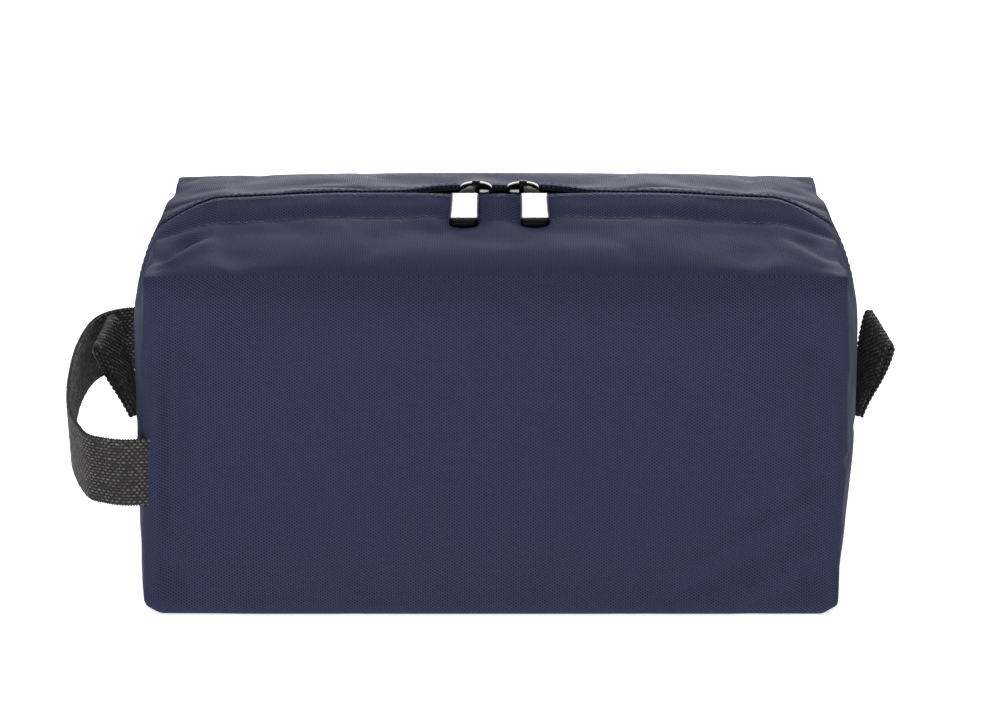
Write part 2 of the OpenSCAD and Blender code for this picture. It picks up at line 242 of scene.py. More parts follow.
def build_net():
    net = Net()
    wall_xs = [-MOUTH - (HALF_W - MOUTH) * s for s in reversed(ROLL[1:])] + MOUTH_XS
    wall_xs += [MOUTH + (HALF_W - MOUTH) * s for s in ROLL[1:]]
    for side, name in ((1, "front"), (-1, "back")):
        def put(p):
            return (p[0], p[1] * side, p[2])
        flip = side < 0
        rows = [[put(front_point(x, z)) for x in wall_xs] for z in UPPER_ZS + LOWER_ZS[1:]]
        net.grid(name + "_wall", rows, flip)
        rows = [[(x, -y * side, CREASE_Z + rise(y, x)) for x in MOUTH_XS] for y in reversed(HALF_YS)]
        net.grid(name + "_top", rows, flip, rise_first=-1)
        for end, end_name in ((1, "right"), (-1, "left")):
            rows = [[(end * p[0], p[1], p[2]) for p in (roll_point(s, -y * side) for y in HALF_YS)]
                    for s in ROLL]
            rows += [[(end * p[0], p[1], p[2]) for p in (end_point(-y * side, z) for y in HALF_YS)]
                     for z in UPPER_ZS[1:]]
            net.grid(f"{end_name}_{name}_corner", rows, (side * end) < 0, end=end)
    rows = [[(x, y, CREASE_Z + rise(LIP_Y, x) - sunk(y)) for x in MOUTH_XS] for y in GAP_YS]
    net.grid("zip_gap", rows)
    every_y = [-y for y in HALF_YS] + GAP_YS[::-1][1:-1] + HALF_YS[::-1]
    for end, end_name in ((1, "right"), (-1, "left")):
        rows = [[end_gap_point(end, roll_point(s, y), s) for y in GAP_YS[::-1]] for s in ROLL]
        rows += [[end_gap_point(end, end_point(y, z), 1) for y in GAP_YS[::-1]] for z in UPPER_ZS[1:]]
        net.grid("zip_gap", rows, end < 0)
        rows = [[(end * p[0], p[1], p[2]) for p in (end_point(y, z) for y in every_y)] for z in LOWER_ZS]
        net.grid(end_name + "_lower_end", rows, end < 0)
    every_base_y = [end_point(y, 0)[1] for y in every_y]
    rows = [[base_point(x, y) for x in wall_xs] for y in every_base_y]
    net.grid("base", rows, True)
    return net


def bell(distance, width):
    """1 on a line, falling smoothly to 0 at width from it."""
    return np.where(np.abs(distance) < width, 0.5 + 0.5 * np.cos(np.pi * distance / width), 0.0)


def mesh_object(name, points, faces):
    mesh = bpy.data.meshes.new(name)
    mesh.from_pydata([tuple(p) for p in points], [], [tuple(f) for f in faces])
    mesh.update()
    obj = bpy.data.objects.new(name, mesh)
    bpy.context.scene.collection.objects.link(obj)
    return obj


def applied(obj):
    """Bakes an object's modifiers into its mesh."""
    bpy.context.view_layer.update()
    graph = bpy.context.evaluated_depsgraph_get()
    mesh = bpy.data.meshes.new_from_object(obj.evaluated_get(graph))
    old = obj.data
    obj.modifiers.clear()
    obj.data = mesh
    bpy.data.meshes.remove(old)
    return obj


def coordinates(mesh):
    flat = np.empty(len(mesh.vertices) * 3)
    mesh.vertices.foreach_get("co", flat)
    return flat.reshape(-1, 3)


def set_coordinates(mesh, points):
    mesh.vertices.foreach_set("co", np.asarray(points, float).ravel())
    mesh.update()


# ---- the bag's outer skin: one closed net, relaxed, then cut into its panels ----

BOTTOM_R = 3 * MM


def rounded_bottom(points):
    """Draws the bottom edges in, so that the bag stands on soft corners."""
    p = points.copy()
    low = np.clip(BOTTOM_R - p[:, 2], 0, BOTTOM_R)
    inset = BOTTOM_R - np.sqrt(BOTTOM_R ** 2 - low ** 2)
    p[:, 0] *= 1 - inset / HALF_W
    p[:, 1] *= 1 - inset / HALF_D
    return p


def skin_object(net):
    obj = mesh_object("bag_skin", rounded_bottom(np.array(net.points)), net.faces)
    layer = obj.data.uv_layers.new(name="cloth")
    layer.data.foreach_set("uv", np.array(net.uvs).ravel())
    whole = bmesh.new()
    whole.from_mesh(obj.data)
    bmesh.ops.recalc_face_normals(whole, faces=whole.faces[:])
    whole.to_mesh(obj.data)
    whole.free()
    return obj


def seam_owners(net):
    """The names of the regions that meet at each vertex, where there is more than one."""
    owners = {}
    for face, region in zip(net.faces, net.regions):
        for v in face:
            owners.setdefault(v, set()).add(net.names[region])
    return {v: o for v, o in owners.items() if len(o) > 1}


def open_edge(owners):
    """True where two regions are one piece of cloth on the real bag, so that no seam holds it."""
    return owners <= {"front_wall", "base"} or owners <= {"back_wall", "base"}


def relaxed(net, skin):
    """Cloth simulation of the closed bag: seams and zip hold while the panels fill out and settle."""
    rest = coordinates(skin.data)
    obj = skin.copy()
    obj.data = skin.data.copy()
    bpy.context.scene.collection.objects.link(obj)
    held = obj.vertex_groups.new(name="held")
    for v, owners in seam_owners(net).items():
        if open_edge(owners):
            held.add([v], 0.9, "REPLACE")
        else:
            crease = abs(rest[v][0]) < MOUTH and abs(rest[v][1]) > 30 * MM
            held.add([v], 0.4 if crease else 1.0, "REPLACE")
    gap = net.names.index("zip_gap")
    held.add(sorted({v for f, r in zip(net.faces, net.regions) if r == gap for v in f}), 1.0, "REPLACE")
    cloth = obj.modifiers.new("Cloth", "CLOTH")
    settings = cloth.settings
    settings.vertex_group_mass = "held"
    settings.quality = 6
    settings.mass = 0.25
    settings.tension_stiffness = 20
    settings.compression_stiffness = 12
    settings.shear_stiffness = 6
    settings.bending_stiffness = 2
    settings.shrink_min = -0.004
    settings.use_pressure = True
    settings.uniform_pressure_force = 0.5
    settings.effector_weights.gravity = 0.0
    cloth.collision_settings.use_collision = False
    frames = 15
    cloth.point_cache.frame_start = 1
    cloth.point_cache.frame_end = frames
    for number in range(1, frames + 1):
        bpy.context.scene.frame_set(number)
    applied(obj)
    move = coordinates(obj.data) - rest
    bpy.context.scene.frame_set(1)
    bpy.data.objects.remove(obj)
    size = np.linalg.norm(move, axis=1, keepdims=True)
    move *= np.minimum(1, 3 * MM / np.maximum(size, 1e-9))
    return rest + settled(move, rest)


def fold_line(p, a, b, width, fade=0.25):
    """Weight of a soft fold from a to b, seen square on: p, a and b are pairs of coordinates."""
    a = np.array(a)
    d = np.array(b) - a
    length = np.linalg.norm(d)
    rel = p - a
    t = (rel @ d) / length ** 2
    off = (rel[:, 0] * d[1] - rel[:, 1] * d[0]) / length
    return bell(off, width) * smoothstep(t / fade) * smoothstep((1 - t) / fade)


LIP_PARTED = 3.6 * MM                               # half gap between the lips at the sliders
LIP_CLOSED = 0.9 * MM                               # half gap between the lips away from the sliders


def lip_shift(x):
    """How far each lip leans over the zip: nothing round the sliders, nearly closed elsewhere."""
    away = smoothstep((np.abs(x - SHIFT) - 17 * MM) / (20 * MM))
    return LIP_Y - LIP_PARTED + (LIP_PARTED - LIP_CLOSED) * away


def drawn_seams(net, points, normals):
    """Pulls the sewn seams in, and leaves the edges that aren't sewn as they are."""
    p = points.copy()
    for v, owners in seam_owners(net).items():
        if open_edge(owners) or "zip_gap" in owners:
            continue
        side = owners & {"front_wall", "back_wall"}
        if side and abs(p[v][0]) < HALF_W - 2 * MM:
            continue
        depth = 2.0 * MM if side else 1.2 * MM
        p[v] -= normals[v] * depth * float(smoothstep((CREASE_Z - p[v][2]) / (12 * MM)))
    return p


def low_down(z):
    """0 above 105 mm and 1 at the base."""
    return np.clip((105 * MM - z) / (105 * MM), 0, 1)


def sculpted(points, normals):
    """The soft folds that the bag has taken on."""
    p = points.copy()
    x, y, z = points.T
    front = smoothstep((-normals[:, 1] - 0.5) / 0.3)
    back = smoothstep((normals[:, 1] - 0.5) / 0.3)
    top = smoothstep((normals[:, 2] - 0.6) / 0.3) * (z > CREASE_Z - 8 * MM)
    xz = points[:, [0, 2]]
    xy = points[:, [0, 1]]
    push = np.zeros(len(p))
    # a low ridge beside each corner seam, then a soft hollow
    for side, depth in ((-1, 3.0), (1, 1.5)):
        for away, width, height in ((3.4, 3.4, 0.5), (9.5, 6.5, -depth)):
            a = (side * (HALF_W - away * MM), 4 * MM)
            b = (side * (HALF_W - away * MM), CREASE_Z - 4 * MM)
            push += (front + back) * height * MM * fold_line(xz, a, b, width * MM, 0.1)
    ends = smoothstep((np.abs(normals[:, 0]) - 0.5) / 0.3)
    beside = (HALF_D - np.abs(y) - 3.2 * MM)
    push += ends * 0.7 * MM * bell(beside, 3.2 * MM)
    above = bell(z - SEAM_Z - 3.4 * MM, 3.6 * MM)
    below = bell(z - SEAM_Z + 4 * MM, 4 * MM)
    push += ends * 0.8 * MM * (above + 0.4 * below)
    # a narrow pinch just inside the top of each corner seam
    for side in (-1, 1):
        a = (side * (HALF_W - 2.6 * MM), 84 * MM)
        b = (side * (HALF_W - 3.0 * MM), CREASE_Z - 3 * MM)
        push -= (front + back) * 2.0 * MM * fold_line(xz, a, b, 3.6 * MM, 0.3)
    # the rows of stitching draw the cloth in
    row = bell(np.abs(y) - ROW_Y, 3.5 * MM) * smoothstep((z - SEAM_Z) / (6 * MM)) * (1 - front) * (1 - back)
    push -= 1.1 * MM * row
    # slanting drag lines at the lower right of the front, and fainter ones elsewhere
    drags = [
        ((117, 48), (62, 14), 6, 2.2), ((116, 28), (84, 5), 5, 1.8), ((117, 64), (80, 40), 6, 1.1),
        ((-118, 30), (-92, 8), 6, 0.5), ((-117, 112), (-90, 96), 7, 0.5), ((117, 112), (94, 98), 7, 0.45),
    ]
    for a, b, width, height in drags:
        line = fold_line(xz, np.array(a) * MM, np.array(b) * MM, width * MM)
        push += (front + 0.8 * back) * height * MM * line
        low = np.array((0, -7.5))
        push -= front * 0.7 * height * MM * fold_line(xz, (a + low) * MM, (b + low) * MM, width * MM)
    # rolling unevenness of the top panels
    swells = [(-62, 40, 20, 0.5), (-8, 44, 20, -0.3), (48, 40, 20, 0.4), (84, 40, 18, -0.3)]
    for cx, cy, width, height in swells:
        for side in (-1, 1):
            far = np.hypot(x - cx * MM * (1 if side < 0 else -0.8), y - side * cy * MM)
            push += top * (1 if side < 0 else 0.15) * height * MM * bell(far, 1.8 * width * MM)
    # the pulls press the cloth down where they lie
    for end in (-1, 1):
        far = np.hypot((x - end * 12.4 * MM - SHIFT) / (15 * MM), (y + 18 * MM) / (15 * MM))
        push -= top * 3.2 * MM * bell(far, 1)
    # a sharp little fold runs in from each front corner of the top, with a hollow outside it
    for end, height in ((-1, 1.1), (1, 0.5)):
        ridge = fold_line(xy, (end * 116 * MM, -60 * MM), (end * 99 * MM, -31 * MM), 6 * MM, 0.35)
        hollow = fold_line(xy, (end * 119 * MM, -50 * MM), (end * 107 * MM, -25 * MM), 6 * MM, 0.35)
        upper = smoothstep((z - 108 * MM) / (12 * MM))
        push += upper * height * (1.9 * ridge - 2.6 * hollow) * MM
    # the end walls dip either side of the zip, under the rolled edge
    for end in (-1, 1):
        for side in (-1, 1):
            at = np.array((end * (HALF_W + 3 * MM), side * 42 * MM, CREASE_Z - 7 * MM))
            far = np.linalg.norm((points - at) / np.array((14, 17, 15)) / MM, axis=1)
            push -= 2.2 * MM * bell(far, 1)
    p += normals * push[:, None]
    # the back corners of the top are drawn in
    drawn = smoothstep((y - 30 * MM) / (30 * MM)) * smoothstep((z - 95 * MM) / (28 * MM))
    p[:, 0] -= np.sign(x) * 2.4 * MM * drawn * smoothstep((np.abs(x) - 90 * MM) / (28 * MM))
    # the long walls belly out a little low down
    low = low_down(z) * smoothstep((np.abs(y) - 30 * MM) / (35 * MM))
    p[:, 1] += np.sign(y) * 3.4 * MM * low
    # the side seams of the long walls stand out a little, most of all low down on the left
    outer = smoothstep((np.abs(x) - 70 * MM) / (50 * MM)) * smoothstep((np.abs(y) - 35 * MM) / (30 * MM))
    p[:, 0] += np.sign(x) * (2.2 + np.where(x < 0, 3.4, -0.8) * low_down(z)) * MM * outer
    # lips: they lean over the zip except round the sliders
    share = np.clip((ROW_Y - np.abs(y)) / (ROW_Y - LIP_Y), 0, 1) * (z > SEAM_Z - 1 * MM)
    lean = lip_shift(x) * share
    p[:, 1] -= np.sign(y) * np.minimum(lean, np.abs(y))
    near = 1 - smoothstep((np.abs(x - SHIFT) - 14 * MM) / (26 * MM))
    p[:, 2] += np.where(y > 0, 1.5 * MM, 0.3 * MM) * near * share
    # the right end wall is drawn in a little below the tab
    slack = smoothstep((SEAM_Z - z) / (45 * MM)) * smoothstep((x - HALF_W) / (4 * MM))
    p[:, 0] -= 2.6 * MM * slack
    return p


def vertex_normals(mesh):
    flat = np.empty(len(mesh.vertices) * 3)
    mesh.vertices.foreach_get("normal", flat)
    return flat.reshape(-1, 3)


def settled(move, rest):
    """Limits how far cloth may move: least on the lines about which the top folds open."""
    far = np.hypot(np.abs(rest[:, 1]) - HINGE_Y, rest[:, 2] - CREASE_Z)
    beyond = np.maximum(0, np.abs(rest[:, 0]) - MOUTH)
    limit = (0.5 + 6.0 * smoothstep(np.hypot(far, beyond) / (30 * MM))) * MM
    size = np.linalg.norm(move, axis=1)
    soft = limit * np.tanh(size / limit)
    return move * (soft / np.maximum(size, 1e-9))[:, None]


class Skin:
    """The finished outer skin as arrays: points, normals, quads, cloth coordinates, region of each face."""

    def __init__(self, net):
        obj = skin_object(net)
        set_coordinates(obj.data, relaxed(net, obj))
        p = sculpted(coordinates(obj.data), vertex_normals(obj.data))
        set_coordinates(obj.data, p)
        p = drawn_seams(net, p, vertex_normals(obj.data))
        rest = rounded_bottom(np.array(net.points))
        lean = p - rest
        p = rest + np.where(np.abs(rest[:, 1:2]) > 30 * MM, settled(lean, rest), lean)
        p[:, 2] = np.maximum(p[:, 2], 0)
        set_coordinates(obj.data, p)
        smooth = obj.modifiers.new("Subdivision", "SUBSURF")
        smooth.levels = 1
        smooth.render_levels = 1
        smooth.boundary_smooth = "ALL"
        applied(obj)
        mesh = obj.data
        self.points = coordinates(mesh)
        self.points[:, 2] = np.maximum(self.points[:, 2], 0)
        self.normals = vertex_normals(mesh)
        self.quads = np.array([list(f.vertices) for f in mesh.polygons])
        uv = np.empty(len(mesh.loops) * 2)
        mesh.uv_layers[0].data.foreach_get("uv", uv)
        self.uv = uv.reshape(-1, 4, 2)
        self.region = np.repeat(np.array(net.regions), 4)
        self.names = net.names
        self.middle = self.points[self.quads].mean(axis=1)
        belongs = np.zeros((len(self.points), len(self.names)), bool)
        for r in range(len(self.names)):
            belongs[self.quads[self.region == r].ravel(), r] = True

        def touches(word):
            return belongs[:, [word in name for name in self.names]].any(axis=1)
        end_piece = touches("corner") | touches("lower_end")
        wall = touches("_wall")
        self.sewn = (wall & end_piece) | (touches("corner") & touches("lower_end"))
        self.sewn |= touches("base") & touches("lower_end")
        self.sewn &= ~(touches("_top"))
        self.tree = BVHTree.FromPolygons(self.points.tolist(), self.quads.tolist())
        bpy.data.objects.remove(obj)

    def part(self, regions, where=None):
        chosen = np.isin(self.region, [self.names.index(r) for r in regions])
        return chosen if where is None else chosen & where(self.middle)

    def panel(self, name, chosen, depth0, depth1):
        """A closed sheet of cloth between two depths under the skin, on the chosen faces."""
        quads = self.quads[chosen]
        used, flat = np.unique(quads, return_inverse=True)
        quads = flat.reshape(-1, 4)
        n = len(used)
        normals = self.normals[used]
        shading = normals.copy()
        corner_points = self.points[self.quads[chosen]]
        facing = np.cross(corner_points[:, 2] - corner_points[:, 0],
                          corner_points[:, 3] - corner_points[:, 1])
        own = np.zeros_like(normals)
        for k in range(4):
            np.add.at(own, quads[:, k], facing)
        own /= np.maximum(np.linalg.norm(own, axis=1, keepdims=True), 1e-12)
        own *= np.sign((own * normals).sum(axis=1, keepdims=True))
        sewn = self.sewn[used]
        shading[sewn] = own[sewn]
        points = np.concatenate([self.points[used] - normals * depth0, self.points[used] - normals * depth1])
        if depth0 > 0:
            points = self.kept_inside(points, depth0 - 0.2 * MM)
        points[:, 2] = np.maximum(points[:, 2], 0)
        count = {}
        for q in quads:
            for a, b in zip(q, np.roll(q, -1)):
                count[(a, b)] = count.get((a, b), 0) + 1
        rim = [(a, b) for a, b in count if (b, a) not in count]
        faces = quads.tolist() + (quads[:, ::-1] + n).tolist() + [[b, a, a + n, b + n] for a, b in rim]
        obj = mesh_object(name, points, faces)
        mesh = obj.data
        uv = self.uv[chosen]
        edge_uv = {}
        for q, corner in zip(quads, uv):
            for v, c in zip(q, corner):
                edge_uv[v] = c
        rim_uv = np.array([[edge_uv[b], edge_uv[a], edge_uv[a], edge_uv[b]] for a, b in rim])
        rim_uv = rim_uv.reshape(-1, 4, 2)
        layer = mesh.uv_layers.new(name="cloth")
        layer.data.foreach_set("uv", np.concatenate([uv, uv[:, ::-1], rim_uv]).ravel())
        mesh.shade_smooth()
        side = np.cross(points[[r[1] for r in rim]] - points[[r[0] for r in rim]],
                        normals[[r[0] for r in rim]])
        side /= np.maximum(np.linalg.norm(side, axis=1, keepdims=True), 1e-12)
        loops = np.concatenate([
            shading[quads].reshape(-1, 3),
            -shading[quads[:, ::-1]].reshape(-1, 3),
            np.repeat(side, 4, axis=0)])
        mesh.normals_split_custom_set(loops.tolist())
        return obj

    def kept_inside(self, points, depth):
        """Moves points that a sharp fold has left too near the skin back to a depth under it."""
        kept = points.copy()
        for i, p in enumerate(points):
            hit, normal, _, _ = self.tree.find_nearest(Vector(p))
            if (Vector(p) - hit).dot(normal) > -depth:
                kept[i] = hit - normal * depth
        return kept


# ---- thread, strips and tubes ----

def on_skin(skin, p):
    hit, normal, _, _ = skin.tree.find_nearest(Vector(p))
    return np.array(hit), np.array(normal)


def unit(v):
    return np.array(v) / max(np.linalg.norm(v), 1e-12)


THREAD_R = 0.21 * MM


def stitches(name, line, normals, dash=2.0 * MM, pitch=2.8 * MM, r=THREAD_R, sink=0.08 * MM):
    """A row of machine stitches: short thread arcs that dive into the cloth at both ends."""
    line = np.array(line)
    normals = np.array(normals)
    place = np.concatenate([[0], np.cumsum(np.linalg.norm(np.diff(line, axis=0), axis=1))])
    points = []
    faces = []
    sides = 6
    heights = [(-0.5, -1.2, 0.55), (-0.42, 0.1, 0.95), (-0.2, 0.6, 1), (0.2, 0.6, 1), (0.42, 0.1, 0.95),
               (0.5, -1.2, 0.55)]
    for number in range(int((place[-1] - dash) // pitch) + 1):
        middle = number * pitch + dash / 2
        base = len(points)
        for part, height, size in heights:
            s = middle + part * dash
            c = np.array([np.interp(s, place, line[:, k]) for k in range(3)])
            n = unit([np.interp(s, place, normals[:, k]) for k in range(3)])
            ahead = np.array([np.interp(s + MM, place, line[:, k]) for k in range(3)])
            behind = np.array([np.interp(s - MM, place, line[:, k]) for k in range(3)])
            across = unit(np.cross(ahead - behind, n))
            c = c + n * (height * r - sink)
            for k in range(sides):
                angle = 2 * math.pi * k / sides
                points.append(c + r * size * (math.cos(angle) * across + math.sin(angle) * n))
        for i in range(len(heights) - 1):
            for k in range(sides):
                a = base + i * sides + k
                b = base + i * sides + (k + 1) % sides
                faces.append((a, b, b + sides, a + sides))
        faces.append(tuple(base + k for k in reversed(range(sides))))
        faces.append(tuple(base + (len(heights) - 1) * sides + k for k in range(sides)))
    obj = mesh_object(name, points, faces)
    obj.data.shade_smooth()
    return obj


def skin_line(skin, places):
    """Points and normals of the skin nearest to a line of places."""
    found = [on_skin(skin, p) for p in places]
    return [f[0] for f in found], [f[1] for f in found]


def sweep(name, frames, section, closed=True, caps=True, uv_scale=1.0):
    """Carries a section along frames of (point, across, up); section is pairs of (across, up).

    The cloth coordinates run round the section and along the sweep, in metres."""
    n = len(section)
    points = []
    for centre, across, up in frames:
        for a, h in section:
            points.append(np.array(centre) + np.array(across) * a + np.array(up) * h)
    section = np.array(section)
    steps = np.linalg.norm(np.diff(section, axis=0, append=section[:1]), axis=1)
    ring = np.concatenate([[0], np.cumsum(steps)])
    centres = np.array([f[0] for f in frames])
    along = np.concatenate([[0], np.cumsum(np.linalg.norm(np.diff(centres, axis=0), axis=1))])
    faces = []
    uvs = []
    for i in range(len(frames) - 1):
        for k in range(n if closed else n - 1):
            faces.append((i * n + k, i * n + (k + 1) % n, (i + 1) * n + (k + 1) % n, (i + 1) * n + k))
            uvs += [(ring[k], along[i]), (ring[k + 1], along[i]), (ring[k + 1], along[i + 1]),
                    (ring[k], along[i + 1])]
    if caps and closed:
        last = (len(frames) - 1) * n
        faces.append(tuple(reversed(range(n))))
        faces.append(tuple(last + k for k in range(n)))
        uvs += [tuple(section[k]) for k in reversed(range(n))] + [tuple(section[k]) for k in range(n)]
    obj = mesh_object(name, points, faces)
    layer = obj.data.uv_layers.new(name="cloth")
    layer.data.foreach_set("uv", (np.array(uvs) * uv_scale).ravel())
    obj.data.shade_smooth()
    return obj


def rounded(w, h, r, steps=4):
    """A rectangle's outline with rounded corners, anticlockwise, as pairs."""
    out = []
    for cx, cy, start in ((w / 2 - r, h / 2 - r, 0), (r - w / 2, h / 2 - r, 90), (r - w / 2, r - h / 2, 180),
                          (w / 2 - r, r - h / 2, 270)):
        for k in range(steps + 1):
            angle = math.radians(start + 90 * k / steps)
            out.append((cx + r * math.cos(angle), cy + r * math.sin(angle)))
    return out


def joined(name, objs):
    """Joins several meshes into the first, under one name."""
    whole = bmesh.new()
    uv_names = [o.data.uv_layers[0].name for o in objs if o.data.uv_layers]
    mesh = bpy.data.meshes.new(name)
    if uv_names:
        whole.loops.layers.uv.new(uv_names[0])
    for o in objs:
        o.data.transform(o.matrix_world)
        whole.from_mesh(o.data)
    whole.to_mesh(mesh)
    whole.free()
    for o in objs:
        bpy.data.objects.remove(o)
    obj = bpy.data.objects.new(name, mesh)
    bpy.context.scene.collection.objects.link(obj)
    mesh.shade_smooth()
    return obj


# ---- materials, all made of nodes ----

class Look:
    """A small helper for building a material from nodes."""

    def __init__(self, name):
        self.material = bpy.data.materials.new(name)
        self.material.use_nodes = True
        self.tree = self.material.node_tree
        self.shader = self.tree.nodes["Principled BSDF"]

    def node(self, kind, **settings):
        n = self.tree.nodes.new(kind)
        for key, value in settings.items():
            setattr(n, key, value)
        return n

    def link(self, a, b):
        self.tree.links.new(a, b)

    def math(self, operation, a, b=None, c=None):
        n = self.node("ShaderNodeMath", operation=operation)
        for socket, value in zip(n.inputs, (a, b, c)):
            if value is None:
                continue
            if isinstance(value, (int, float)):
                socket.default_value = value
            else:
                self.link(value, socket)
        return n.outputs[0]

    def mix(self, factor, a, b):
        n = self.node("ShaderNodeMix", data_type="RGBA")
        for socket, value in ((n.inputs[0], factor), (n.inputs[6], a), (n.inputs[7], b)):
            if isinstance(value, (int, float, tuple)):
                socket.default_value = value
            else:
                self.link(value, socket)
        return n.outputs[2]

    def noise(self, vector, scale, detail=2.0, roughness=0.5):
        n = self.node("ShaderNodeTexNoise")
        n.inputs["Scale"].default_value = scale
        n.inputs["Detail"].default_value = detail
        n.inputs["Roughness"].default_value = roughness
        self.link(vector, n.inputs["Vector"])
        return n.outputs["Fac"]

    def place(self):
        return self.node("ShaderNodeTexCoord").outputs["Object"]

    def bump(self, height, strength, distance):
        n = self.node("ShaderNodeBump")
        n.inputs["Strength"].default_value = strength
        n.inputs["Distance"].default_value = distance
        self.link(height, n.inputs["Height"])
        self.link(n.outputs["Normal"], self.shader.inputs["Normal"])

    def base(self, colour):
        if isinstance(colour, tuple):
            self.shader.inputs["Base Color"].default_value = colour
        else:
            self.link(colour, self.shader.inputs["Base Color"])

    def set(self, **values):
        for key, value in values.items():
            self.shader.inputs[key.replace("_", " ")].default_value = value


def linear(r, g, b):
    """Shader colour for a display colour given as 0 to 1 parts."""
    def one(c):
        return c / 12.92 if c <= 0.04045 else ((c + 0.055) / 1.055) ** 2.4
    return (one(r), one(g), one(b), 1.0)


def weave(look, pitch_u, pitch_v, slant=0.0):
    """Thread height of a plain weave on the cloth's coordinates, 0 to 1.

    slant favours one set of diagonals."""
    uv = look.node("ShaderNodeUVMap", uv_map="cloth").outputs["UV"]
    parts = look.node("ShaderNodeSeparateXYZ")
    look.link(uv, parts.inputs[0])
    a = look.math("MULTIPLY", parts.outputs[0], math.pi / pitch_u)
    b = look.math("MULTIPLY", parts.outputs[1], math.pi / pitch_v)
    over = look.math("MULTIPLY", look.math("SINE", a), look.math("SINE", b))
    diagonal = look.math("MULTIPLY", look.math("COSINE", look.math("SUBTRACT", a, b)), slant)
    columns = look.math("MULTIPLY", look.math("COSINE", look.math("MULTIPLY", a, 2.0)), 0.45)
    total = look.math("ADD", look.math("ADD", over, diagonal), columns)
    return uv, look.math("ADD", look.math("MULTIPLY", total, 0.5 / (1.45 + slant)), 0.5)


def outer_fabric():
    look = Look("outer_fabric")
    place = look.place()
    uv, over = weave(look, 0.866 * MM, 0.563 * MM, 0.35)
    slub = look.noise(uv, 700.0, 2.0)
    broad = look.noise(place, 16.0, 3.0)
    crumple = look.noise(place, 36.0, 4.0, 0.55)
    level = look.math("ADD", look.math("MULTIPLY", over, 0.78), look.math("MULTIPLY", slub, 0.22))
    thread = look.mix(level, FABRIC_DARK, FABRIC_LIGHT)
    look.base(look.mix(look.math("MULTIPLY", broad, 0.3), thread, FABRIC_WORN))
    threads = look.math("MULTIPLY", over, 0.16 * MM)
    look.bump(look.math("ADD", threads, look.math("MULTIPLY", crumple, 1.0 * MM)), 0.6, 1.0)
    look.set(Roughness=0.6, Specular_IOR_Level=0.015)
    return look.material


def lining_cloth():
    look = Look("lining")
    over = weave(look, 0.32 * MM, 0.32 * MM)[1]
    crumple = look.noise(look.place(), 55.0, 4.0)
    look.base(look.mix(over, linear(0.13, 0.13, 0.14), linear(0.21, 0.21, 0.225)))
    threads = look.math("MULTIPLY", over, 0.05 * MM)
    look.bump(look.math("ADD", threads, look.math("MULTIPLY", crumple, 0.9 * MM)), 0.6, 1.0)
    look.set(Roughness=0.42, Sheen_Weight=0.1)
    return look.material


def ribbed_tape(name, dark, light, pitch):
    look = Look(name)
    over = weave(look, pitch, pitch)[1]
    look.base(look.mix(over, dark, light))
    look.bump(look.math("MULTIPLY", over, 0.12 * MM), 0.7, 1.0)
    look.set(Roughness=0.72, Sheen_Weight=0.12)
    return look.material


def coil_plastic():
    look = Look("zip_coil")
    haze = look.noise(look.place(), 300.0)
    look.base(look.mix(haze, linear(0.03, 0.03, 0.033), linear(0.07, 0.07, 0.075)))
    look.set(Roughness=0.4, Specular_IOR_Level=0.5)
    return look.material


def gloss_enamel(name="slider_enamel", colour=0.03, rough=0.2):
    look = Look(name)
    haze = look.noise(look.place(), 260.0, 3.0)
    dark = linear(colour, colour, colour * 1.05)
    light = linear(colour * 1.5, colour * 1.5, colour * 1.6)
    look.base(look.mix(haze, dark, light))
    spread = look.math("ADD", look.math("MULTIPLY", haze, 0.1), rough)
    look.link(spread, look.shader.inputs["Roughness"])
    look.set(Specular_IOR_Level=0.05, Coat_Weight=0.01, Coat_Roughness=0.06)
    return look.material


def satin_metal():
    look = Look("pull_sleeve")
    place = look.place()
    stretch = look.node("ShaderNodeMapping")
    stretch.inputs["Scale"].default_value = (1.0, 0.06, 0.06)
    look.link(place, stretch.inputs["Vector"])
    grain = look.noise(stretch.outputs[0], 5200.0, 3.0)
    haze = look.noise(place, 240.0, 3.0)
    look.base(look.mix(haze, linear(0.72, 0.72, 0.73), linear(0.79, 0.79, 0.80)))
    look.link(look.math("ADD", look.math("MULTIPLY", grain, 0.16), 0.30), look.shader.inputs["Roughness"])
    look.bump(look.math("MULTIPLY", grain, 0.012 * MM), 0.6, 1.0)
    look.set(Metallic=1.0)
    return look.material


def webbing_yarn():
    """Charcoal yarn with a painted highlight on the crowns of its floats, broken up by random flecks; the
    weave itself is modelled.
    """
    look = Look("webbing")
    place = look.place()
    crown = look.node("ShaderNodeAttribute", attribute_name="crown").outputs["Fac"]
    fleck = look.noise(place, 1500.0, 3.0, 0.6)
    broad = look.noise(place, 420.0, 2.0)
    # painted highlight: the tops of the floats are lightened as if catching the light
    lit = look.math("MULTIPLY", look.math("POWER", crown, 5.0), look.math("MULTIPLY", broad, 1.7))
    lit = look.math("MINIMUM", look.math("MULTIPLY", lit, look.math("ADD", fleck, 0.35)), 1.0)
    look.base(look.mix(lit, WEB_DARK, WEB_HIGHLIGHT))
    look.bump(look.math("MULTIPLY", fleck, 0.06 * MM), 0.5, 1.0)
    look.set(Roughness=0.62, Sheen_Weight=0.1, Specular_IOR_Level=0.4)
    return look.material


def thread_look():
    look = Look("thread")
    fleck = look.noise(look.place(), 2600.0)
    look.base(look.mix(fleck, linear(0.09, 0.095, 0.175), linear(0.18, 0.19, 0.28)))
    look.set(Roughness=0.55, Sheen_Weight=0.2)
    return look.material


